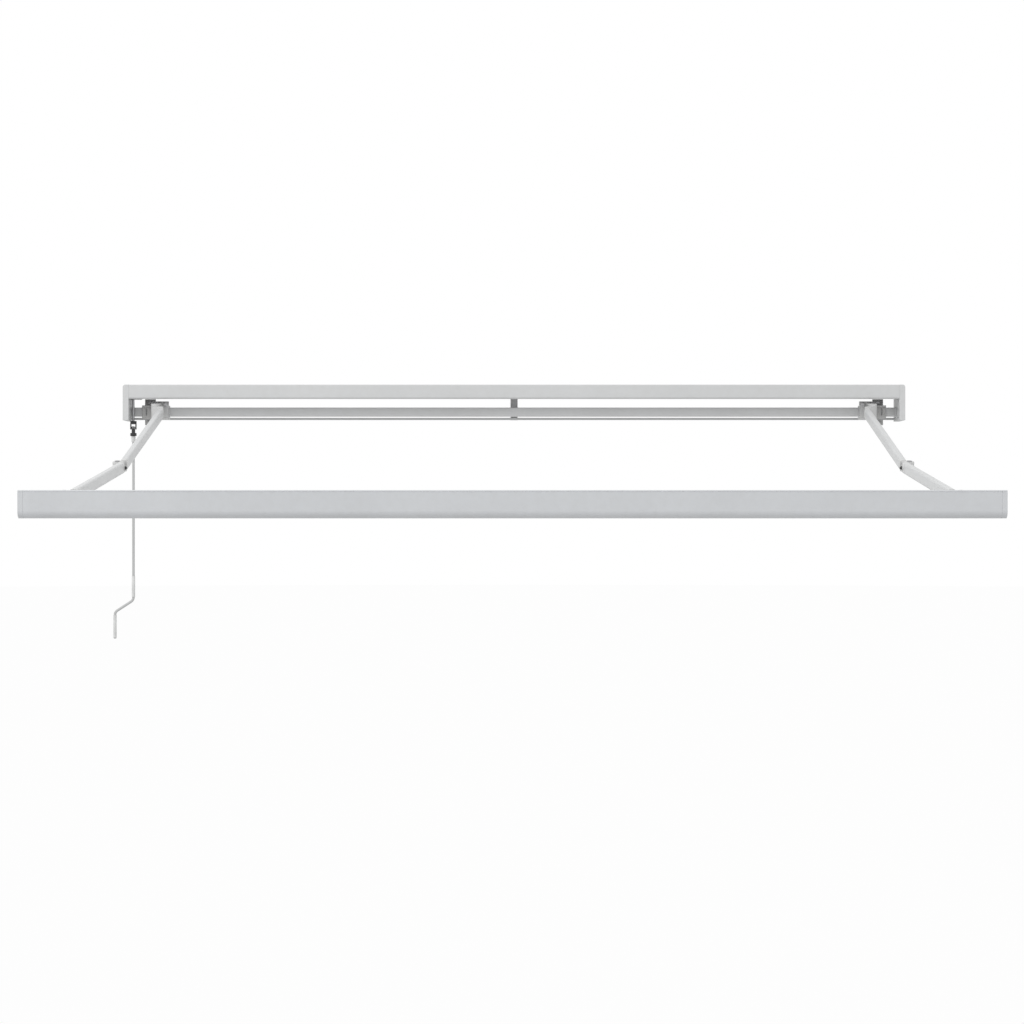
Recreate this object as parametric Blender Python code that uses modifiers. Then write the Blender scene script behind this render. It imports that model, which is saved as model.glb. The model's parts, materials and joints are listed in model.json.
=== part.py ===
"""Folding-arm awning frame: hood, torsion bar, two folding arms, front bar, roller and crank.

Metres, +Z up.  The wall is the plane Y = 0 and the awning reaches out along -Y.  The origin is
on the wall, behind the middle of the torsion bar.  The fold hinges lean forward with the pitch
of the arms, so the front bar stays level while the arms fold.
"""
from math import cos, radians, sin

import bmesh
import bpy
from mathutils import Matrix, Vector
from mathutils.geometry import convex_hull_2d

NAME = "folding_arm_awning_frame"
GAP = 0.0003                     # left between pieces that touch

# Overall sizes
HALF_WIDTH = 1.750
END_PLATE = 0.026                # thickness of the plates that close the hood
HOOD_FRONT = -0.185
HOOD_REAR = -0.012
HOOD_TOP = 0.119
HOOD_LIP = 0.055                 # height of the hood's lower front edge
SHEET = 0.0025
INNER_HALF = HALF_WIDTH - END_PLATE - GAP

# Torsion bar, centred on the height Z = 0
BAR_SIZE = 0.040
BAR_WALL = 0.003
BAR_Y = -0.075
BAR_FRONT = BAR_Y - BAR_SIZE / 2
BAR_REAR = BAR_Y + BAR_SIZE / 2
BAR_HALF = BAR_SIZE / 2

# Wall brackets
BRACKET_X = 1.652
BRACKET_WIDTH = 0.048
BRACKET_PLATE = 0.012
BRACKET_TOP = 0.061
BRACKET_BOTTOM = -0.0565
JAW = 0.009                      # thickness of the jaws round the torsion bar
CLAMP_FRONT = BAR_FRONT - GAP - JAW
BOLT_HEIGHTS = {"upper": 0.047, "lower": -0.044}
MIDDLE_WIDTH = 0.032

# Arms
PITCH = radians(10)
HINGE_AXIS = Vector((0, -sin(PITCH), cos(PITCH)))
REACH_AXIS = Vector((0, -cos(PITCH), -sin(PITCH)))
SHOULDER = Vector((1.606, -0.165, -0.003))
REACH = 2.2542                   # from shoulder pivot to front pivot, arms extended
FRONT = SHOULDER + REACH * REACH_AXIS
ELBOW_INSET = 0.008
ELBOW_DROP = 0.072
ELBOW = (SHOULDER + FRONT) / 2 - ELBOW_DROP * HINGE_AXIS - Vector((ELBOW_INSET, 0, 0))
TUBE_X = 1.578
TUBE_WIDTH = 0.028
TUBE_HEIGHT = 0.044
TUBE_WALL = 0.0025
TUBE_CORNER = 0.008
COLLAR = 0.026                   # length of the casting's end that continues the tube
SHOULDER_RUN = 0.060             # from a pin to the start of its tube
ELBOW_RUN = 0.054
PLUG = 0.034                     # length of the casting's end inside the tube
PIN_RADIUS = 0.006
KNUCKLE_RADIUS = 0.019
EAR = 0.009                      # thickness of one ear of a fork
SHOULDER_TONGUE = 0.028          # half heights of the tongues between the ears
ELBOW_TONGUE = 0.0125
FRONT_TONGUE = 0.0095
FRONT_EAR = 0.0075
HEAD = 0.004                     # height of a pin's head
BOSS = 0.003                     # the ring under the elbow cap
BOSS_RADIUS = 0.0115
CAP_RADIUS = 0.0072

# Front bar
FRONT_BAR_BACK = -2.440
FRONT_BAR_FACE = -2.500
FRONT_BAR_TOP = -0.3733
FRONT_BAR_BOTTOM = -0.4736
FRONT_CAP = 0.0185
FRONT_BAR_WALL = 0.0025

# Roller, gear and crank
ROLLER_Y = -0.090
ROLLER_Z = 0.0865
ROLLER_RADIUS = 0.025
CRANK_X = -1.712
CRANK_Y = -0.120
WHEEL_RADIUS = 0.019
WORM_RADIUS = 0.0085
SHAFT_RADIUS = 0.005
STEM_BOTTOM = -0.042
JOINT_Z = -0.073                 # centre of the universal joint's cross
YOKE_BOTTOM = -0.109
FERRULE_BOTTOM = -0.136
ROD_RADIUS = 0.006
ROD_BEND = -0.847
HANDLE_X = -1.795
HANDLE_TOP = -0.901
HANDLE_BOTTOM = -1.020
GRIP_RADIUS = 0.0078
UPPER_GRIP = (-0.833, -0.739)
LOWER_GRIP = (-1.016, -0.915)


# ---------------------------------------------------------------- scene and materials

def clear_scene():
    for old in list(bpy.data.objects):
        bpy.data.objects.remove(old, do_unlink=True)


def new_collection(name):
    made = bpy.data.collections.new(name)
    bpy.context.scene.collection.children.link(made)
    return made


def material(name, colour, roughness, metallic=0.0):
    made = bpy.data.materials.new(name)
    made.use_nodes = True
    shader = made.node_tree.nodes["Principled BSDF"]
    shader.inputs["Base Color"].default_value = (*colour, 1)
    shader.inputs["Roughness"].default_value = roughness
    shader.inputs["Metallic"].default_value = metallic
    return made


clear_scene()
PARTS = new_collection(NAME)
CUTTERS = new_collection("cutters")
FINISHES = {
    "coat": ((0.72, 0.72, 0.71), 0.45, 0.0),
    "casting": ((0.66, 0.66, 0.65), 0.50, 0.0),
    "steel": ((0.42, 0.42, 0.43), 0.35, 0.9),
    "zinc": ((0.58, 0.59, 0.60), 0.40, 0.9),
    "black": ((0.02, 0.02, 0.02), 0.45, 0.0),
    "brass": ((0.62, 0.45, 0.18), 0.35, 0.9),
    "grip": ((0.60, 0.60, 0.59), 0.55, 0.0),
}


# ---------------------------------------------------------------- shapes

def place(name, mesh, finish):
    """Make the object for a mesh; a finish of None makes it a cutter or a piece to join."""
    body = bpy.data.objects.new(name, mesh)
    if finish is None:
        CUTTERS.objects.link(body)
        body.hide_render = True
        body.display_type = "WIRE"
    else:
        PARTS.objects.link(body)
        body.data.materials.append(material(name + "_" + finish, *FINISHES[finish]))
    return body


def frame(origin, u, v):
    """Matrix whose X and Y axes are u and v, at the origin given."""
    u = Vector(u).normalized()
    v = Vector(v).normalized()
    w = u.cross(v)
    turn = Matrix((u, v, w)).transposed().to_4x4()
    return Matrix.Translation(Vector(origin)) @ turn


def prism(name, outlines, depth, matrix, finish, bevel=0.0):
    """A flat outline, with any holes, given a thickness centred on the frame's XY plane."""
    curve = bpy.data.curves.new(name, "CURVE")
    curve.dimensions = "2D"
    curve.fill_mode = "BOTH"
    curve.extrude = depth / 2
    for outline in outlines:
        spline = curve.splines.new("POLY")
        spline.points.add(len(outline) - 1)
        for point, (x, y) in zip(spline.points, outline):
            point.co = (x, y, 0, 1)
        spline.use_cyclic_u = True
    return mesh_from_curve(name, curve, matrix, finish, bevel)


def mesh_from_curve(name, curve, matrix, finish, bevel=0.0):
    """The curve's mesh with its caps welded on."""
    source = bpy.data.objects.new(name + "_curve", curve)
    CUTTERS.objects.link(source)
    bpy.context.view_layer.update()
    mesh = bpy.data.meshes.new_from_object(source.evaluated_get(bpy.context.evaluated_depsgraph_get()))
    bpy.data.objects.remove(source, do_unlink=True)
    bpy.data.curves.remove(curve)
    shape = bmesh.new()
    shape.from_mesh(mesh)
    bmesh.ops.remove_doubles(shape, verts=shape.verts, dist=0.00001)
    bmesh.ops.recalc_face_normals(shape, faces=shape.faces)
    shape.to_mesh(mesh)
    shape.free()
    mesh.materials.clear()
    body = place(name, mesh, finish)
    body.matrix_world = matrix
    smooth(body)
    if bevel:
        round_edges(body, bevel)
    return body


def box(name, low, high, finish, bevel=0.0):
    low, high = Vector(low), Vector(high)
    shape = bmesh.new()
    bmesh.ops.create_cube(shape, size=1)
    bmesh.ops.scale(shape, vec=high - low, verts=shape.verts)
    mesh = bpy.data.meshes.new(name)
    shape.to_mesh(mesh)
    shape.free()
    body = place(name, mesh, finish)
    body.location = (low + high) / 2
    if bevel:
        round_edges(body, bevel)
    return body


def rod(name, start, end, radius, finish, sides=24, bevel=0.0, end_radius=None):
    """A cylinder, or a cone where the end has its own radius, between two points."""
    start, end = Vector(start), Vector(end)
    shape = bmesh.new()
    bmesh.ops.create_cone(shape, cap_ends=True, segments=sides, radius1=radius,
                          radius2=radius if end_radius is None else end_radius,
                          depth=(end - start).length)
    mesh = bpy.data.meshes.new(name)
    shape.to_mesh(mesh)
    shape.free()
    body = place(name, mesh, finish)
    body.rotation_mode = "QUATERNION"
    body.rotation_quaternion = (end - start).to_track_quat("Z", "Y")
    body.location = (start + end) / 2
    smooth(body)
    if bevel:
        round_edges(body, bevel)
    return body


def smooth(body):
    body.data.shade_smooth()
    body.data.set_sharp_from_angle(angle=radians(35))


def round_edges(body, width):
    bevel = body.modifiers.new("edges", "BEVEL")
    bevel.width = width
    bevel.segments = 2
    bevel.limit_method = "ANGLE"
    bevel.angle_limit = radians(50)


def boolean(body, other, operation):
    step = body.modifiers.new(operation.lower(), "BOOLEAN")
    step.operation = operation
    step.solver = "EXACT"
    step.object = other


def join(body, *others):
    for other in others:
        boolean(body, other, "UNION")


def cut(body, *others):
    for other in others:
        boolean(body, other, "DIFFERENCE")


def set_pivot(body, pivot):
    """Move the object's origin to a joint's axis without moving its shape."""
    bpy.context.view_layer.update()
    shift = body.matrix_world.inverted() @ Vector(pivot)
    body.data.transform(Matrix.Translation(-shift))
    body.matrix_world = body.matrix_world @ Matrix.Translation(shift)


# ---------------------------------------------------------------- outlines

def arc(centre, radius, start, end, steps=6):
    """Points along an arc, angles in degrees."""
    turns = [radians(start + (end - start) * i / steps) for i in range(steps + 1)]
    return [(centre[0] + radius * cos(turn), centre[1] + radius * sin(turn)) for turn in turns]


def rounded_rectangle(width, height, corner, steps=3):
    """Outline centred on its origin; width along the first axis."""
    half_w, half_h = width / 2 - corner, height / 2 - corner
    corners = ((half_w, half_h, 0), (-half_w, half_h, 90), (-half_w, -half_h, 180), (half_w, -half_h, 270))
    return [point for x, y, turn in corners for point in arc((x, y), corner, turn, turn + 90, steps)]


def hull(points):
    """The outline stretched round the points."""
    points = [Vector(point) for point in points]
    return [tuple(points[i]) for i in convex_hull_2d(points)]


def along_x(x):
    """Frame whose outline plane is YZ and whose thickness runs along X."""
    return frame((x, 0, 0), (0, 1, 0), (0, 0, 1))


# ---------------------------------------------------------------- hood, bar and rail

def make_hood():
    front, rear, top, lip = HOOD_FRONT, HOOD_REAR, HOOD_TOP, HOOD_LIP
    top_corner, lip_corner, lip_depth = 0.004, 0.009, 0.016
    path = [(rear, top - 0.024), (rear, top)]
    path += arc((front + top_corner, top - top_corner), top_corner, 90, 180, 4)
    path += arc((front + lip_corner, lip + lip_corner), lip_corner, 180, 270, 5)
    path += [(front + lip_depth, lip), (front + lip_depth, lip + 0.008)]
    shape = bmesh.new()
    ends = [shape.verts.new((-INNER_HALF, y, z)) for y, z in path]
    edges = [shape.edges.new(pair) for pair in zip(ends, ends[1:])]
    swept = bmesh.ops.extrude_edge_only(shape, edges=edges)
    moved = [item for item in swept["geom"] if isinstance(item, bmesh.types.BMVert)]
    bmesh.ops.translate(shape, vec=(2 * INNER_HALF, 0, 0), verts=moved)
    bmesh.ops.recalc_face_normals(shape, faces=shape.faces)
    mesh = bpy.data.meshes.new("hood")
    shape.to_mesh(mesh)
    shape.free()
    body = place("hood", mesh, "coat")
    smooth(body)
    shell = body.modifiers.new("sheet", "SOLIDIFY")
    shell.thickness = SHEET
    shell.offset = -1
    shell.use_even_offset = True


def make_hood_end(side, name):
    inner, outer = HALF_WIDTH - END_PLATE, HALF_WIDTH
    corner, bottom, rear = 0.012, -0.0405, -0.010
    outline = [(bottom, side * inner), (bottom, side * outer)]
    outline += [(HOOD_TOP - corner + corner * sin(radians(turn)),
                 side * (outer - corner + corner * cos(radians(turn)))) for turn in range(0, 91, 15)]
    outline.append((HOOD_TOP, side * inner))
    middle = (HOOD_FRONT + rear) / 2
    plate = prism(name, [outline], rear - HOOD_FRONT,
                  frame((0, middle, 0), (0, 0, 1), (1, 0, 0)), "coat", 0.0005)
    if side > 0:
        cut(plate, rod("roller_seat", (inner - 0.01, ROLLER_Y, ROLLER_Z), (inner + 0.012, ROLLER_Y, ROLLER_Z),
                       0.0075, None))


def make_torsion_bar():
    outer = rounded_rectangle(BAR_SIZE, BAR_SIZE, 0.003, 2)
    inner = rounded_rectangle(BAR_SIZE - 2 * BAR_WALL, BAR_SIZE - 2 * BAR_WALL, 0.0015, 2)
    prism("torsion_bar", [outer, inner], 2 * INNER_HALF,
          frame((0, BAR_Y, 0), (0, 1, 0), (0, 0, 1)), "coat")


def make_rear_rail():
    top = -0.0235
    box("rear_rail", (-INNER_HALF, -BRACKET_PLATE - 0.0083, top - 0.010),
        (INNER_HALF, -BRACKET_PLATE - GAP, top), "coat", 0.0008)


def make_hood_support():
    rear, front, half, wall = -0.0153, -0.0503, MIDDLE_WIDTH / 2, 0.003
    bottom, top = BAR_HALF + 2 * GAP, HOOD_TOP - SHEET - GAP
    channel = [(-half, rear), (-half, front), (half, front), (half, rear), (half - wall, rear),
               (half - wall, front + wall), (-half + wall, front + wall), (-half + wall, rear)]
    prism("hood_support", [channel], top - bottom,
          frame((0, 0, (top + bottom) / 2), (1, 0, 0), (0, 1, 0)), "casting")


# ---------------------------------------------------------------- wall brackets

def make_middle_bracket():
    seat = BAR_REAR + GAP
    outline = [(0, -0.034), (0, 0.034), (-BRACKET_PLATE, 0.034), (-BRACKET_PLATE, BAR_HALF),
               (seat, BAR_HALF), (seat, -BAR_HALF), (-BRACKET_PLATE, -BAR_HALF), (-BRACKET_PLATE, -0.034)]
    prism("wall_bracket_middle", [outline], MIDDLE_WIDTH, along_x(0), "casting", 0.0006)


def make_wall_bracket(side, label):
    x, seat, jaw_under = side * BRACKET_X, BAR_REAR + GAP, BAR_HALF + GAP
    outline = [(0, BRACKET_BOTTOM), (0, BRACKET_TOP), (-BRACKET_PLATE, BRACKET_TOP),
               (-BRACKET_PLATE, jaw_under + JAW), (CLAMP_FRONT, jaw_under + JAW), (CLAMP_FRONT, jaw_under),
               (seat, jaw_under), (seat, -BAR_HALF), (-BRACKET_PLATE, -BAR_HALF),
               (-BRACKET_PLATE, BRACKET_BOTTOM)]
    bracket = prism("wall_bracket_" + label, [outline], BRACKET_WIDTH, along_x(x), "casting")
    for place_name, height in BOLT_HEIGHTS.items():
        cut(bracket, rod("bolt_hole", (x, 0.01, height), (x, -0.03, height), 0.005, None))
        make_wall_bolt(x, height, "wall_bolt_" + place_name + "_" + label)
    make_clamp(side, label)


def make_wall_bolt(x, height, name):
    seat = -BRACKET_PLATE - GAP
    bolt = rod(name, (x, -0.0005, height), (x, seat - 0.003, height), 0.0045, "zinc", 16)
    washer = rod("washer", (x, seat, height), (x, seat - 0.0015, height), 0.0095, None)
    head = rod("head", (x, seat - 0.001, height), (x, seat - 0.007, height), 0.0075, None, 6)
    join(bolt, washer, head)


def make_clamp(side, label):
    x = side * BRACKET_X
    front, back, top = CLAMP_FRONT, BAR_FRONT - GAP, BAR_HALF
    under = -BAR_HALF - GAP
    outline = [(back, top), (front, top)]
    outline += arc((front + 0.004, under - JAW + 0.004), 0.004, 180, 270, 3)
    outline += [(-0.0225, under - JAW), (-0.0225, under), (back, under)]
    clamp = prism("bracket_clamp_" + label, [outline], BRACKET_WIDTH, along_x(x), "casting")
    slot_x = side * (BRACKET_X + 0.004)
    cut(clamp, box("clamp_slot", (slot_x - 0.003, front - 0.01, -0.016), (slot_x + 0.003, back + 0.005, 0.016),
                   None))


# ---------------------------------------------------------------- shoulder brackets

def make_shoulder_bracket(side, label):
    pivot = Vector((side * SHOULDER.x, SHOULDER.y, SHOULDER.z))
    inner, outer = 1.556, BRACKET_X - BRACKET_WIDTH / 2 - GAP
    rear, front, jaw, top, bottom = -0.052, -0.112, 0.0085, 0.047, -0.034
    back, fin = BAR_FRONT - GAP, -0.090
    clear = BAR_HALF + GAP
    outline = [(rear, clear), (rear, clear + jaw), (fin, clear + jaw), (fin, top)]
    outline += arc((front + 0.005, top - 0.005), 0.005, 90, 180, 3)
    outline += arc((front + 0.006, bottom + 0.006), 0.006, 180, 270, 3)
    outline += [(rear, bottom), (rear, -clear), (back, -clear), (back, clear)]
    bracket = prism("shoulder_bracket_" + label, [outline], outer - inner,
                    along_x(side * (inner + outer) / 2), "casting")
    hinge = frame(pivot, REACH_AXIS, (1, 0, 0))
    middle = SHOULDER_TONGUE + GAP + EAR / 2
    for level in (-middle, middle):
        run = (pivot.y - (front + 0.009) - level * sin(PITCH)) / cos(PITCH)
        ear_outline = hull(arc((0, 0), KNUCKLE_RADIUS, -90, 90, 10)
                           + [(run, KNUCKLE_RADIUS), (run, -KNUCKLE_RADIUS)])
        ear = prism("ear", [ear_outline], EAR, hinge @ Matrix.Translation((0, 0, level)), None)
        join(bracket, ear)
    lug_x, lug_z = side * 1.567, 0.031
    join(bracket, rod("lug", (lug_x, -0.098, lug_z), (lug_x, -0.118, lug_z), 0.0115, None))
    reach = SHOULDER_TONGUE + EAR + 0.01
    cut(bracket, rod("pin_hole", pivot - reach * HINGE_AXIS, pivot + reach * HINGE_AXIS,
                     PIN_RADIUS + GAP, None))
    cut(bracket, rod("screw_hole", (lug_x, -0.104, lug_z), (lug_x, -0.13, lug_z), 0.0045 + GAP, None, 16))
    screw = rod("tilt_screw_" + label, (lug_x, -0.1045, lug_z), (lug_x, -0.120, lug_z), 0.0045, "zinc", 16)
    join(screw, rod("head", (lug_x, -0.1183, lug_z), (lug_x, -0.1225, lug_z), 0.0075, None, 20))
    cut(screw, rod("socket", (lug_x, -0.1195, lug_z), (lug_x, -0.13, lug_z), 0.0035, None, 6))


def make_pin(name, pivot, half_height, ear=EAR):
    """A hinge pin with a head on each end."""
    stop = half_height + GAP + ear + GAP
    pin = rod(name, pivot - (stop + 0.001) * HINGE_AXIS, pivot + (stop + 0.001) * HINGE_AXIS,
              PIN_RADIUS, "steel")
    for way in (-1, 1):
        join(pin, rod("head", pivot + way * stop * HINGE_AXIS, pivot + way * (stop + HEAD) * HINGE_AXIS,
                      0.0095, None))
    return pin


# ---------------------------------------------------------------- arms

def tube_frame(start, end):
    """Frame along a tube: X across it, Y up it, thickness along it, centred on its middle."""
    along = (end - start).normalized()
    up = Vector((1, 0, 0)).cross(along)
    up = up if up.z > 0 else -up
    across = up.cross(along)
    return frame((start + end) / 2, across, up)


def tube_end(pivot, target, side, start_at):
    """The point where a tube starts, on the tube's own centre line beside the pivot."""
    near = Vector((side * TUBE_X, pivot.y, pivot.z))
    far = Vector((side * TUBE_X, target.y, target.z))
    return near + start_at * (far - near).normalized()


def make_arm_tube(name, start, end, pivot):
    outer = rounded_rectangle(TUBE_WIDTH, TUBE_HEIGHT, TUBE_CORNER)
    inner = rounded_rectangle(TUBE_WIDTH - 2 * TUBE_WALL, TUBE_HEIGHT - 2 * TUBE_WALL,
                              TUBE_CORNER - TUBE_WALL)
    tube = prism(name, [outer, inner], (end - start).length, tube_frame(start, end), "coat")
    set_pivot(tube, pivot)


def casting_end(start, far):
    """The collar and plug that carry a tube starting at one point and running to another."""
    along = (far - start).normalized()
    inside_w, inside_h = TUBE_WIDTH - 2 * (TUBE_WALL + GAP), TUBE_HEIGHT - 2 * (TUBE_WALL + GAP)
    first, last = start - COLLAR * along, start - GAP * along
    collar = prism("collar", [rounded_rectangle(TUBE_WIDTH, TUBE_HEIGHT, TUBE_CORNER)],
                   (last - first).length, tube_frame(first, last), None)
    first, last = start - 0.003 * along, start + PLUG * along
    plug = prism("plug", [rounded_rectangle(inside_w, inside_h, TUBE_CORNER - TUBE_WALL - GAP)],
                 (last - first).length, tube_frame(first, last), None)
    return collar, plug


def make_knuckle(name, pivot, start, far, side, layers, moving_pivot):
    """A casting round a pin: one layer is a tongue, two are a fork; its other end holds a tube."""
    hinge = frame(pivot, REACH_AXIS, (1, 0, 0))
    way = 1 if (start - pivot).dot(REACH_AXIS) > 0 else -1
    offset = side * TUBE_X - pivot.x
    run = way * (abs((start - pivot).dot(REACH_AXIS)) - COLLAR + 0.006)
    slim = TUBE_WIDTH / 2 - 0.0015
    outline = hull(arc((0, 0), KNUCKLE_RADIUS, 0, 345, 23) + [(run, offset - slim), (run, offset + slim)])
    ears = []
    for low, high in layers:
        middle = hinge @ Matrix.Translation((0, 0, (low + high) / 2))
        ears.append((high - low, middle))
    body = prism(name, [outline], *ears[0], "casting")
    others = [prism("ear", [outline], *ear, None) for ear in ears[1:]]
    collar, plug = casting_end(start, far)
    join(body, collar, *others, plug)
    reach = layers[-1][1] + 0.02
    cut(body, rod("pin_hole", pivot - reach * HINGE_AXIS, pivot + reach * HINGE_AXIS,
                  PIN_RADIUS + GAP, None))
    set_pivot(body, moving_pivot)
    return body


def make_arm(side, label):
    shoulder = Vector((side * SHOULDER.x, SHOULDER.y, SHOULDER.z))
    elbow = Vector((side * ELBOW.x, ELBOW.y, ELBOW.z))
    front = Vector((side * FRONT.x, FRONT.y, FRONT.z))
    upper_start = tube_end(shoulder, elbow, side, SHOULDER_RUN)
    upper_end = tube_end(elbow, shoulder, side, ELBOW_RUN)
    fore_start = tube_end(elbow, front, side, ELBOW_RUN)
    fore_end = tube_end(front, elbow, side, ELBOW_RUN)
    tongue = [(-ELBOW_TONGUE, ELBOW_TONGUE)]
    ear_low, ear_high = ELBOW_TONGUE + GAP, ELBOW_TONGUE + GAP + EAR
    fork = [(-ear_high, -ear_low), (ear_low, ear_high)]
    make_knuckle("shoulder_knuckle_" + label, shoulder, upper_start, upper_end, side,
                 [(-SHOULDER_TONGUE, SHOULDER_TONGUE)], shoulder)
    make_arm_tube("upper_arm_tube_" + label, upper_start, upper_end, shoulder)
    make_knuckle("elbow_fork_" + label, elbow, upper_end, upper_start, side, fork, shoulder)
    elbow_tongue = make_knuckle("elbow_tongue_" + label, elbow, fore_start, fore_end, side, tongue, elbow)
    seat, inboard = cap_seat(fore_start, fore_end, side)
    join(elbow_tongue, rod("boss", seat - 0.004 * inboard, seat + BOSS * inboard, BOSS_RADIUS, None))
    make_arm_tube("forearm_tube_" + label, fore_start, fore_end, elbow)
    make_knuckle("front_knuckle_" + label, front, fore_end, fore_start, side,
                 [(-FRONT_TONGUE, FRONT_TONGUE)], elbow)
    make_spring("arm_spring_" + label, fore_start, fore_end)
    make_pin("shoulder_pin_" + label, shoulder, SHOULDER_TONGUE)
    make_pin("elbow_pin_" + label, elbow, ELBOW_TONGUE)
    make_pin("front_pin_" + label, front, FRONT_TONGUE, FRONT_EAR)
    make_elbow_cap("elbow_cap_" + label, fore_start, fore_end, side)
    make_front_bracket("front_bracket_" + label, front)


def make_spring(name, start, end):
    """The tension spring in the forearm, its close-wound turns as one tube."""
    along = (end - start).normalized()
    first, last = start + 0.09 * along, start + 0.69 * along
    spring = rod(name, first, last, 0.0095, "steel")
    cut(spring, rod("spring_bore", first - 0.01 * along, last + 0.01 * along, 0.006, None))


def cap_seat(start, far, side):
    """Where the elbow cap sits: the inboard face of the forearm's collar, and the way it faces."""
    along = (far - start).normalized()
    inboard = Vector((-side, 0, 0))
    return start - COLLAR / 2 * along + TUBE_WIDTH / 2 * inboard, inboard


def make_elbow_cap(name, start, far, side):
    """The domed black cap over the spring's anchor, on the forearm's inboard side."""
    seat, inboard = cap_seat(start, far, side)
    low = seat + (BOSS + GAP) * inboard
    cap = rod(name, low, low + 0.004 * inboard, CAP_RADIUS, "black", 24)
    join(cap, rod("crown", low + 0.003 * inboard, low + 0.008 * inboard, 0.0062, None, 24, 0.0, 0.0038))


# ---------------------------------------------------------------- front bar

def front_bar_outline(inset):
    """Section of the front bar; the inset draws the hollow inside it."""
    back, face = FRONT_BAR_BACK - inset, FRONT_BAR_FACE + inset
    top, bottom = FRONT_BAR_TOP - inset, FRONT_BAR_BOTTOM + inset
    lead, sweep = 0.004, 0.026 - inset
    outline = [(back, top)]
    outline += arc((face + lead, top - lead), lead, 90, 180, 3)
    if not inset:
        groove = top - 0.0065
        outline += [(face, groove + 0.001), (face + 0.0012, groove), (face, groove - 0.001)]
    outline += arc((face + sweep, bottom + sweep), sweep, 180, 270, 8)
    outline += [(back - 0.006, bottom), (back, bottom + 0.006)]
    return outline


def make_front_bar():
    length = HALF_WIDTH - FRONT_CAP - GAP
    bar = prism("front_bar", [front_bar_outline(0), front_bar_outline(FRONT_BAR_WALL)], 2 * length,
                along_x(0), "coat")
    set_pivot(bar, (-FRONT.x, FRONT.y, FRONT.z))
    for side, label in SIDES:
        cap = prism("front_bar_cap_" + label, [front_bar_outline(0)], FRONT_CAP,
                    along_x(side * (HALF_WIDTH - FRONT_CAP / 2)), "coat", 0.0009)
        set_pivot(cap, (-FRONT.x, FRONT.y, FRONT.z))


def make_front_bracket(name, pivot):
    """The foot on the back of the front bar, with two ears that lean with the hinge."""
    back, thickness = FRONT_BAR_BACK + GAP, 0.007
    foot = box(name, (pivot.x - 0.040, back, FRONT.z - 0.046), (pivot.x + 0.040, back + thickness, FRONT.z + 0.019),
               "casting")
    hinge = frame(pivot, REACH_AXIS, (1, 0, 0))
    middle = FRONT_TONGUE + GAP + FRONT_EAR / 2
    for level in (-middle, middle):
        run = (pivot.y - back - thickness / 2 - level * sin(PITCH)) / cos(PITCH)
        outline = hull(arc((0, 0), KNUCKLE_RADIUS, 90, 270, 12)
                       + [(run, KNUCKLE_RADIUS), (run, -KNUCKLE_RADIUS)])
        join(foot, prism("ear", [outline], FRONT_EAR, hinge @ Matrix.Translation((0, 0, level)), None))
    cut(foot, rod("pin_hole", pivot - 0.05 * HINGE_AXIS, pivot + 0.05 * HINGE_AXIS, PIN_RADIUS + GAP, None))


# ---------------------------------------------------------------- roller and gear

def make_roller():
    start, end = -1.672, 1.716
    centre = (ROLLER_Y, ROLLER_Z)
    tube = rod("roller_tube", (start, *centre), (end, *centre), ROLLER_RADIUS, "zinc", 32)
    cut(tube, rod("bore", (start - 0.01, *centre), (end + 0.01, *centre), ROLLER_RADIUS - 0.0015, None, 32))
    plug_radius = ROLLER_RADIUS - 0.0015 - GAP
    left = rod("roller_plug_left", (start - 0.004, *centre), (start + 0.030, *centre), plug_radius, "black", 32)
    join(left, rod("axle", (start, *centre), (CRANK_X + 0.006 + GAP, *centre), 0.007, None))
    right = rod("roller_plug_right", (end - 0.030, *centre), (end + 0.003, *centre), plug_radius, "black", 32)
    join(right, rod("axle", (end, *centre), (end + 0.017, *centre), 0.007, None))
    wheel = rod("worm_wheel", (CRANK_X - 0.006, *centre), (CRANK_X + 0.006, *centre), WHEEL_RADIUS,
                "brass", 36, 0.0012)
    return left, right, wheel


def make_gear_case():
    low, high, wall = Vector((-INNER_HALF, -0.140, 0.0565)), Vector((-1.682, -0.062, 0.115)), 0.0028
    case = box("gear_case", low, high, "casting")
    inset = Vector((wall, wall, wall))
    cut(case, box("case_room", low + inset, high - inset, None))
    cut(case, rod("stem_hole", (CRANK_X, CRANK_Y, 0.05), (CRANK_X, CRANK_Y, 0.065), SHAFT_RADIUS + 0.0006, None))
    cut(case, rod("axle_hole", (-1.69, ROLLER_Y, ROLLER_Z), (-1.67, ROLLER_Y, ROLLER_Z), 0.0076, None))
    shaft = rod("worm_shaft", (CRANK_X, CRANK_Y, STEM_BOTTOM + GAP), (CRANK_X, CRANK_Y, 0.1095),
                SHAFT_RADIUS, "steel", 20)
    join(shaft, rod("worm", (CRANK_X, CRANK_Y, 0.064), (CRANK_X, CRANK_Y, 0.105), WORM_RADIUS, None))


# ---------------------------------------------------------------- crank

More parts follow.
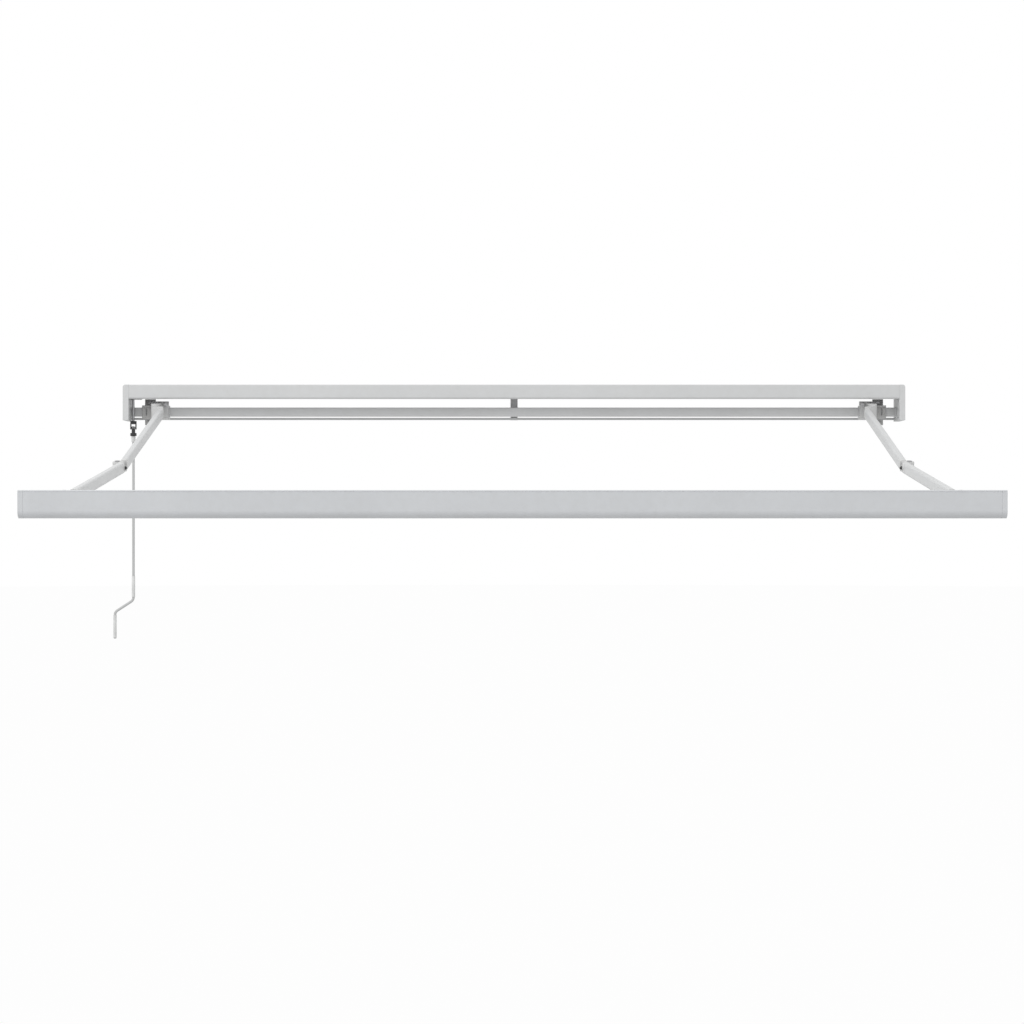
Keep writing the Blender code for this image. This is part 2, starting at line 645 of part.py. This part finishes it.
def make_yoke(name, base_low, base_high, prong_end, across):
    """A yoke of the universal joint: a round base and two prongs either side of the cross."""
    inner, outer, half, base_radius = 0.0095, 0.0136, 0.006, 0.0142
    yoke = rod(name, (CRANK_X, CRANK_Y, base_low), (CRANK_X, CRANK_Y, base_high), base_radius, "black", 24)
    joint = Vector((CRANK_X, CRANK_Y, JOINT_Z))
    for way in (-1, 1):
        low, high = sorted((way * inner, way * outer))
        bottom, top = sorted((prong_end, (base_low + base_high) / 2))
        if across == "x":
            prong = box("prong", (CRANK_X + low, CRANK_Y - half, bottom), (CRANK_X + high, CRANK_Y + half, top),
                        None)
        else:
            prong = box("prong", (CRANK_X - half, CRANK_Y + low, bottom), (CRANK_X + half, CRANK_Y + high, top),
                        None)
        join(yoke, prong)
    way = Vector((0.03, 0, 0)) if across == "x" else Vector((0, 0.03, 0))
    cut(yoke, rod("pin_hole", joint - way, joint + way, 0.0034, None, 16))
    set_pivot(yoke, joint)


def make_universal_joint():
    reach = 0.0065
    make_yoke("u_joint_yoke_top", STEM_BOTTOM - 0.014, STEM_BOTTOM, JOINT_Z - reach, "x")
    make_yoke("u_joint_yoke_bottom", YOKE_BOTTOM, YOKE_BOTTOM + 0.013, JOINT_Z + reach, "y")
    centre = Vector((CRANK_X, CRANK_Y, JOINT_Z))
    half = Vector((0.0075, 0.0075, 0.0055))
    cross = box("u_joint_cross", centre - half, centre + half, "steel")
    for way in (Vector((0.0136, 0, 0)), Vector((0, 0.0136, 0))):
        join(cross, rod("cross_pin", centre - way, centre + way, 0.0030, None, 16))
    ferrule = rod("crank_ferrule", (CRANK_X, CRANK_Y, FERRULE_BOTTOM), (CRANK_X, CRANK_Y, YOKE_BOTTOM - GAP),
                  0.0092, "casting", 24, 0.0008)
    set_pivot(ferrule, centre)


def crank_path():
    """Centre line of the rod: straight down, a rounded step outboard, and the handle."""
    top = FERRULE_BOTTOM - GAP
    lean = Vector((HANDLE_X - CRANK_X, HANDLE_TOP - ROD_BEND)).normalized()
    points = [(CRANK_X, top), (CRANK_X, ROD_BEND + 0.014)]
    points += round_corner((CRANK_X, ROD_BEND), Vector((0, -1)), lean)
    points += round_corner((HANDLE_X, HANDLE_TOP), lean, Vector((0, -1)))
    points.append((HANDLE_X, HANDLE_BOTTOM))
    return points


def round_corner(corner, before, after, reach=0.013, steps=5):
    """Points that round one corner of a path in the plane of the crank."""
    corner = Vector(corner)
    start, end = corner - reach * before, corner + reach * after
    points = []
    for i in range(steps + 1):
        t = i / steps
        points.append(tuple((1 - t) ** 2 * start + 2 * t * (1 - t) * corner + t ** 2 * end))
    return points


def make_crank():
    curve = bpy.data.curves.new("crank_rod", "CURVE")
    curve.dimensions = "3D"
    curve.bevel_depth = ROD_RADIUS
    curve.bevel_resolution = 4
    curve.use_fill_caps = True
    spline = curve.splines.new("POLY")
    path = crank_path()
    spline.points.add(len(path) - 1)
    for point, (x, z) in zip(spline.points, path):
        point.co = (x, CRANK_Y, z, 1)
    rod_body = mesh_from_curve("crank_rod", curve, Matrix.Identity(4), "coat")
    set_pivot(rod_body, (CRANK_X, CRANK_Y, JOINT_Z))
    for name, x, (low, high) in (("grip_upper", CRANK_X, UPPER_GRIP), ("grip_lower", HANDLE_X, LOWER_GRIP)):
        grip = rod(name, (x, CRANK_Y, low), (x, CRANK_Y, high), GRIP_RADIUS, "grip", 24)
        cut(grip, rod("grip_bore", (x, CRANK_Y, low - 0.01), (x, CRANK_Y, high + 0.01), ROD_RADIUS + GAP,
                      None, 24))


# ---------------------------------------------------------------- the whole frame

SIDES = ((-1, "left"), (1, "right"))


def build():
    make_hood()
    make_torsion_bar()
    make_rear_rail()
    make_hood_support()
    make_middle_bracket()
    for side, label in SIDES:
        make_hood_end(side, "hood_end_" + label)
        make_wall_bracket(side, label)
        make_shoulder_bracket(side, label)
        make_arm(side, label)
    make_front_bar()
    make_roller()
    make_gear_case()
    make_universal_joint()
    make_crank()


build()
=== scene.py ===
"""Looks of the folding-arm awning frame.

Finishes, rounded castings, turned grips, end-plate screws, light and camera.
"""
import json
from math import cos, pi, radians, sin

import bmesh
import bpy
from mathutils import Matrix, Vector


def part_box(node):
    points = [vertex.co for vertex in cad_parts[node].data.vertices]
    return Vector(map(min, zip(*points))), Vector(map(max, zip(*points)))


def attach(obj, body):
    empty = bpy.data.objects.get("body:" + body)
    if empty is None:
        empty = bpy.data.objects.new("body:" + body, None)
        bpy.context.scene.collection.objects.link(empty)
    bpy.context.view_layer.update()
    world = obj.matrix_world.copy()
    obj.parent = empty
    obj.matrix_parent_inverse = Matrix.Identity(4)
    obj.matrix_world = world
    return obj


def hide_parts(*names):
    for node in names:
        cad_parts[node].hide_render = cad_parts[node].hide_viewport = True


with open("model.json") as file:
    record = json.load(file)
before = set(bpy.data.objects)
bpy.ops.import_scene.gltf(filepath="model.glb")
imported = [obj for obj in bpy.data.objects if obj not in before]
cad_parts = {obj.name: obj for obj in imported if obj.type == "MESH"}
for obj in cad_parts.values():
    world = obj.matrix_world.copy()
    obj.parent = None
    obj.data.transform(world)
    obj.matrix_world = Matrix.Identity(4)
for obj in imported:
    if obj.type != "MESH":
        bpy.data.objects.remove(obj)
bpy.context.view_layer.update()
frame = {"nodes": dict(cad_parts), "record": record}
NODES = frame["nodes"]
BODIES = frame["record"]["behaviour"]["bodies"]
BODY_OF = {node: body for body, names in BODIES.items() for node in names}
SLOT_OF = {part["node"]: part["material_slot"] for part in frame["record"]["subparts"]}
SIDES = ((-1, "left"), (1, "right"))

# Camera, in metres from the part's origin
CAMERA_PLACE = (0.025, -11.22, -0.451)
CAMERA_LENS = 86.75
CAMERA_SHIFT = -0.0074

# Light: place in metres, size in metres, power in watts
SKY_STRENGTH = 1.0
LIGHT_TARGET = (0, -1, -0.2)
KEY_PLACE, KEY_SIZE, KEY_POWER = (-7.5, -7.0, 6.5), 5.0, 420
FILL_PLACE, FILL_SIZE, FILL_POWER = (6.0, -9.0, 1.5), 6.0, 60

# Floor
FLOOR_HEIGHT = -2.55
FLOOR_RADIUS = 60
FLOOR_GREY = 0.62
FLOOR_GLOW = 0.985

# Edges
SHARP_ANGLE = radians(38)
FLAT_ANGLE = radians(1.0)
WELD_DISTANCE = 0.000005

# Grips: a rolled bead at each end of a slightly slimmer waist
BEAD_LENGTH = 0.0035
BEAD_RISE = 0.0004
BEAD_STEPS = 8
BEAD_TO_WAIST = 0.001
WAIST_INSET = 0.0003
GRIP_WALL = 0.0012

# End-plate screws: (radius, height) outline, distance from the wall, height above the plate's foot
SCREW_OUTLINE = [(0, 0.0), (0.0036, 0.0), (0.0040, 0.0006), (0.0036, 0.0020),
                 (0.0022, 0.0027), (0.0016, 0.0022), (0, 0.0018)]
SCREW_PLACES = {"front": -0.145, "rear": -0.045}
SCREW_HEIGHT = 0.0135


# ---------------------------------------------------------------- materials

class Finish:
    """A Principled material and the nodes that vary it over the surface."""

    def __init__(self, name, colour, roughness, metallic=0.0):
        self.material = bpy.data.materials.new(name)
        self.material.use_nodes = True
        self.tree = self.material.node_tree
        self.shader = self.tree.nodes["Principled BSDF"]
        self.shader.inputs["Metallic"].default_value = metallic
        self.coords = self.node("ShaderNodeTexCoord")
        self.colour = colour
        self.roughness = roughness

    def node(self, kind, **settings):
        made = self.tree.nodes.new(kind)
        for key, value in settings.items():
            if hasattr(made, key):
                setattr(made, key, value)
            else:
                made.inputs[key].default_value = value
        return made

    def link(self, output, target):
        self.tree.links.new(output, target)

    def noise(self, scale, detail=3.0, stretch=None):
        """Noise over the object's own coordinates, in features per metre."""
        noise = self.node("ShaderNodeTexNoise")
        noise.inputs["Scale"].default_value = scale
        noise.inputs["Detail"].default_value = detail
        source = self.coords.outputs["Object"]
        if stretch:
            mapping = self.node("ShaderNodeMapping")
            mapping.inputs["Scale"].default_value = stretch
            self.link(source, mapping.inputs["Vector"])
            source = mapping.outputs["Vector"]
        self.link(source, noise.inputs["Vector"])
        return noise.outputs["Fac"]

    def ramp(self, factor, low, high, start=0.3, end=0.7):
        ramp = self.node("ShaderNodeValToRGB")
        first, last = ramp.color_ramp.elements
        first.position, first.color = start, (*low, 1)
        last.position, last.color = end, (*high, 1)
        self.link(factor, ramp.inputs["Fac"])
        return ramp.outputs["Color"]

    def mix(self, factor, first, second, blend="MIX"):
        mix = self.node("ShaderNodeMix")
        mix.data_type = "RGBA"
        mix.blend_type = blend
        if isinstance(factor, float):
            mix.inputs["Factor"].default_value = factor
        else:
            self.link(factor, mix.inputs["Factor"])
        self.link(first, mix.inputs["A"])
        self.link(second, mix.inputs["B"])
        return mix.outputs["Result"]

    def vary_colour(self, factor, darker, lighter):
        low = tuple(channel * darker for channel in self.colour)
        high = tuple(min(1, channel * lighter) for channel in self.colour)
        return self.ramp(factor, low, high)

    def vary_roughness(self, factor, spread):
        span = self.node("ShaderNodeMapRange")
        span.inputs["To Min"].default_value = self.roughness - spread
        span.inputs["To Max"].default_value = self.roughness + spread
        self.link(factor, span.inputs["Value"])
        self.link(span.outputs["Result"], self.shader.inputs["Roughness"])

    def bump(self, factor, depth, strength=1.0):
        """Relief from a factor, with its depth in metres."""
        bump = self.node("ShaderNodeBump")
        bump.inputs["Distance"].default_value = depth
        bump.inputs["Strength"].default_value = strength
        self.link(factor, bump.inputs["Height"])
        self.link(bump.outputs["Normal"], self.shader.inputs["Normal"])

    def edge_mask(self, low=0.52, high=0.60):
        """Bright on convex edges, for the finish that handling has rubbed."""
        geometry = self.node("ShaderNodeNewGeometry")
        return self.ramp(geometry.outputs["Pointiness"], (0, 0, 0), (1, 1, 1), low, high)

    def set_colour(self, output):
        self.link(output, self.shader.inputs["Base Color"])


def powder_coat(name, colour, roughness, peel=520.0, depth=0.00012):
    """Powder coat: fine orange peel, faint cloudiness, and a little dust that dulls the gloss."""
    finish = Finish(name, colour, roughness)
    clouds = finish.vary_colour(finish.noise(5.0, 4.0), 0.975, 1.02)
    dust = finish.ramp(finish.noise(38.0, 6.0), (0.965, 0.962, 0.955), (1, 1, 1), 0.35, 0.62)
    finish.set_colour(finish.mix(0.6, clouds, dust, "MULTIPLY"))
    finish.vary_roughness(finish.noise(90.0, 5.0), 0.06)
    finish.bump(finish.noise(peel, 2.0), depth, 0.25)
    finish.shader.inputs["Specular IOR Level"].default_value = 0.45
    return finish.material


def cast_coat(name, colour, roughness):
    """Powder coat on a die casting: softer gloss over a pebbled skin, thin at the edges."""
    finish = Finish(name, colour, roughness)
    base = finish.vary_colour(finish.noise(22.0, 5.0), 0.95, 1.03)
    worn = finish.node("ShaderNodeRGB")
    worn.outputs[0].default_value = (*(min(1, channel * 1.12) for channel in colour), 1)
    finish.set_colour(finish.mix(finish.edge_mask(), base, worn.outputs[0]))
    finish.vary_roughness(finish.noise(150.0, 4.0), 0.07)
    finish.bump(finish.noise(900.0, 3.0), 0.00018, 0.35)
    return finish.material


def metal(name, colour, roughness, grain):
    """Bare or plated metal: grain drawn out along one axis, with stains that change its gloss."""
    finish = Finish(name, colour, roughness, 1.0)
    lines = finish.noise(240.0, 4.0, grain)
    finish.set_colour(finish.vary_colour(finish.noise(60.0, 6.0), 0.80, 1.10))
    finish.vary_roughness(lines, 0.10)
    finish.bump(lines, 0.00006, 0.3)
    return finish.material


def plastic(name, colour, roughness, pebble):
    """Moulded plastic: a fine spark-eroded texture and a slight bloom."""
    finish = Finish(name, colour, roughness)
    finish.set_colour(finish.vary_colour(finish.noise(45.0, 5.0), 0.90, 1.12))
    finish.vary_roughness(finish.noise(120.0, 4.0), 0.08)
    cells = finish.node("ShaderNodeTexVoronoi")
    cells.inputs["Scale"].default_value = pebble
    finish.link(finish.coords.outputs["Object"], cells.inputs["Vector"])
    finish.bump(cells.outputs["Distance"], 0.00012, 0.35)
    return finish.material


MATERIALS = {
    "coat": powder_coat("white_powder_coat", (0.565, 0.572, 0.575), 0.42),
    "casting": cast_coat("cast_powder_coat", (0.545, 0.548, 0.545), 0.50),
    "steel": metal("plain_steel", (0.44, 0.44, 0.45), 0.34, (1, 1, 0.05)),
    "zinc": metal("zinc_plate", (0.50, 0.50, 0.51), 0.38, (0.2, 1, 1)),
    "black": plastic("black_plastic", (0.022, 0.022, 0.023), 0.42, 1400.0),
    "brass": metal("machined_brass", (0.62, 0.45, 0.18), 0.30, (1, 0.05, 1)),
    "grip": plastic("grey_grip_plastic", (0.60, 0.605, 0.60), 0.50, 1100.0),
    "bracket": cast_coat("bracket_coat", (0.40, 0.40, 0.395), 0.52),
    # Painted shade: a slightly darker, duller copy of the white coat for the hood support and the
    # middle wall bracket, which sit in the hood's shade
    "shade": powder_coat("support_coat_painted_shade", (0.56, 0.56, 0.565), 0.50),
    "front": powder_coat("front_bar_coat", (0.545, 0.558, 0.575), 0.40),
    "rod": powder_coat("crank_coat", (0.475, 0.48, 0.48), 0.40),
}
# Nodes whose finish isn't their slot's own
NODE_FINISH = {
    "front_bar": "front", "front_bar_cap_left": "front", "front_bar_cap_right": "front",
    "crank_rod": "rod",
    # The hood support and the middle wall bracket take the painted-shade copy of the white coat
    "hood_support": "shade", "wall_bracket_middle": "shade",
    "wall_bracket_left": "bracket", "wall_bracket_right": "bracket",
    "bracket_clamp_left": "bracket", "bracket_clamp_right": "bracket",
}


def finish_of(node):
    return MATERIALS[NODE_FINISH.get(node, SLOT_OF[node])]


def dress(piece, material):
    piece.data.materials.clear()
    piece.data.materials.append(material)


# ---------------------------------------------------------------- helpers

def add(name, shape, node_like, material):
    """A new piece that rides with a node's body and takes the given material."""
    mesh = bpy.data.meshes.new(name)
    shape.to_mesh(mesh)
    shape.free()
    piece = bpy.data.objects.new(name, mesh)
    bpy.context.scene.collection.objects.link(piece)
    dress(piece, material)
    piece.data.shade_smooth()
    piece.data.set_sharp_from_angle(angle=SHARP_ANGLE)
    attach(piece, BODY_OF[node_like])
    return piece


def soften(node, width, segments=3):
    """A copy of a CAD node with its edges rounded, shown in the node's place."""
    shape = bmesh.new()
    shape.from_mesh(NODES[node].data)
    bmesh.ops.remove_doubles(shape, verts=shape.verts, dist=WELD_DISTANCE)
    bmesh.ops.dissolve_limit(shape, angle_limit=FLAT_ANGLE, verts=shape.verts, edges=shape.edges)
    sharp = [edge for edge in shape.edges
             if len(edge.link_faces) == 2 and edge.calc_face_angle(0) > SHARP_ANGLE]
    bmesh.ops.bevel(shape, geom=sharp, offset=width, offset_type="OFFSET", segments=segments,
                    profile=0.5, affect="EDGES", clamp_overlap=True)
    piece = add(node + "_rounded", shape, node, finish_of(node))
    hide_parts(node)
    return piece


def turned(name, profile, axis_point, axis, node_like, material, sides=48):
    """A turned piece: (radius, height) points swept round an axis."""
    shape = bmesh.new()
    turn = Vector((0, 0, 1)).rotation_difference(Vector(axis)).to_matrix().to_4x4()
    place = Matrix.Translation(Vector(axis_point)) @ turn
    angles = [2 * pi * i / sides for i in range(sides)]
    rings = []
    for radius, height in profile:
        points = [(radius * cos(angle), radius * sin(angle)) for angle in angles]
        if radius == 0:
            points = [(0, 0)]
        rings.append([shape.verts.new(place @ Vector((x, y, height))) for x, y in points])
    for low, high in zip(rings, rings[1:]):
        for i in range(sides):
            j = (i + 1) % sides
            if len(low) == 1:
                shape.faces.new((low[0], high[j], high[i]))
            elif len(high) == 1:
                shape.faces.new((low[i], low[j], high[0]))
            else:
                shape.faces.new((low[i], low[j], high[j], high[i]))
    if len(rings[0]) > 1 and len(rings[-1]) > 1:
        for i in range(sides):
            j = (i + 1) % sides
            shape.faces.new((rings[-1][i], rings[-1][j], rings[0][j], rings[0][i]))
    bmesh.ops.recalc_face_normals(shape, faces=shape.faces)
    return add(name, shape, node_like, material)


# ---------------------------------------------------------------- light, camera, floor

def make_camera():
    camera = bpy.data.objects.new("camera", bpy.data.cameras.new("camera"))
    bpy.context.scene.collection.objects.link(camera)
    camera.location = CAMERA_PLACE
    camera.rotation_euler = (pi / 2, 0, 0)
    camera.data.sensor_width = 36
    camera.data.lens = CAMERA_LENS
    camera.data.shift_x = CAMERA_SHIFT
    camera.data.clip_end = 200
    bpy.context.scene.camera = camera


def area_light(name, place, target, size, power):
    light = bpy.data.lights.new(name, "AREA")
    light.size = size
    light.energy = power
    lamp = bpy.data.objects.new(name, light)
    bpy.context.scene.collection.objects.link(lamp)
    lamp.location = place
    lamp.rotation_mode = "QUATERNION"
    lamp.rotation_quaternion = (Vector(target) - Vector(place)).to_track_quat("-Z", "Y")


def make_studio():
    world = bpy.data.worlds.new("studio")
    bpy.context.scene.world = world
    world.use_nodes = True
    sky = world.node_tree.nodes["Background"]
    sky.inputs["Color"].default_value = (1, 1, 1, 1)
    sky.inputs["Strength"].default_value = SKY_STRENGTH
    bpy.context.scene.view_settings.view_transform = "Standard"
    area_light("key", KEY_PLACE, LIGHT_TARGET, KEY_SIZE, KEY_POWER)
    area_light("fill", FILL_PLACE, LIGHT_TARGET, FILL_SIZE, FILL_POWER)
    bpy.ops.mesh.primitive_circle_add(vertices=96, radius=FLOOR_RADIUS, fill_type="NGON",
                                      location=(0, 0, FLOOR_HEIGHT))
    floor = bpy.context.active_object
    floor.name = "floor"
    dress(floor, floor_paint())


def floor_paint():
    """A pale floor that looks white but throws only moderate light up at the frame."""
    paint = Finish("pale_floor", (FLOOR_GREY, FLOOR_GREY, FLOOR_GREY), 0.9)
    paint.set_colour(paint.vary_colour(paint.noise(0.8), 0.98, 1.02))
    glow = paint.node("ShaderNodeEmission", Strength=FLOOR_GLOW)
    rays = paint.node("ShaderNodeLightPath")
    choice = paint.node("ShaderNodeMixShader")
    paint.link(rays.outputs["Is Camera Ray"], choice.inputs["Fac"])
    paint.link(paint.shader.outputs["BSDF"], choice.inputs[1])
    paint.link(glow.outputs["Emission"], choice.inputs[2])
    paint.link(choice.outputs["Shader"], paint.tree.nodes["Material Output"].inputs["Surface"])
    return paint.material


# ---------------------------------------------------------------- the part

def dress_nodes():
    for node, body in NODES.items():
        dress(body, finish_of(node))


# Edge radius of the castings and fasteners that come as a left and a right
ROUNDED_PAIRS = {
    0.0016: ("shoulder_knuckle", "elbow_fork", "elbow_tongue", "front_knuckle"),
    0.0012: ("shoulder_bracket", "front_bracket", "wall_bracket"),
    0.0010: ("bracket_clamp",),
    0.0006: ("wall_bolt_upper", "wall_bolt_lower", "tilt_screw"),
}
ROUNDED_SINGLES = {
    "wall_bracket_middle": 0.0012,
    "gear_case": 0.0015,
    "u_joint_yoke_top": 0.0009,
    "u_joint_yoke_bottom": 0.0009,
}
CROSS_ROUNDING = 0.0005


def round_castings():
    for width, names in ROUNDED_PAIRS.items():
        for name in names:
            for _, label in SIDES:
                soften(name + "_" + label, width)
    for node, width in ROUNDED_SINGLES.items():
        soften(node, width)
    soften("u_joint_cross", CROSS_ROUNDING, 2)


def bead(radius, start):
    """Outline of one rolled bead: (radius, height) points from a start height up."""
    return [(radius - BEAD_RISE + BEAD_RISE * sin(pi * i / BEAD_STEPS),
             start + BEAD_LENGTH * i / BEAD_STEPS) for i in range(BEAD_STEPS + 1)]


def make_grips():
    """Turned grips with a rolled bead at each end, in place of the plain sleeves."""
    for node in ("grip_upper", "grip_lower"):
        low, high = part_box(node)
        centre = (low + high) / 2
        radius, height = (high.x - low.x) / 2, high.z - low.z
        bore, waist = radius - GRIP_WALL, radius - WAIST_INSET
        waist_start = BEAD_LENGTH + BEAD_TO_WAIST
        profile = [(bore, 0), *bead(radius, 0), (waist, waist_start),
                   (waist, height - waist_start), *bead(radius, height - BEAD_LENGTH),
                   (bore, height)]
        piece = turned(node + "_beaded", profile, (centre.x, centre.y, low.z), (0, 0, 1), node,
                       MATERIALS["grip"])
        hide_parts(node)


def make_end_screws():
    """Domed screws that hold the end plates, on their inner faces."""
    for side, label in SIDES:
        low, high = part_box("hood_end_" + label)
        face = low.x if side > 0 else high.x
        for place, y in SCREW_PLACES.items():
            turned("end_screw_" + label + "_" + place, SCREW_OUTLINE,
                   (face, y, low.z + SCREW_HEIGHT), (-side, 0, 0), "tilt_screw_" + label,
                   MATERIALS["steel"], 24)


def main():
    make_camera()
    make_studio()
    dress_nodes()
    round_castings()
    make_grips()
    make_end_screws()


main()
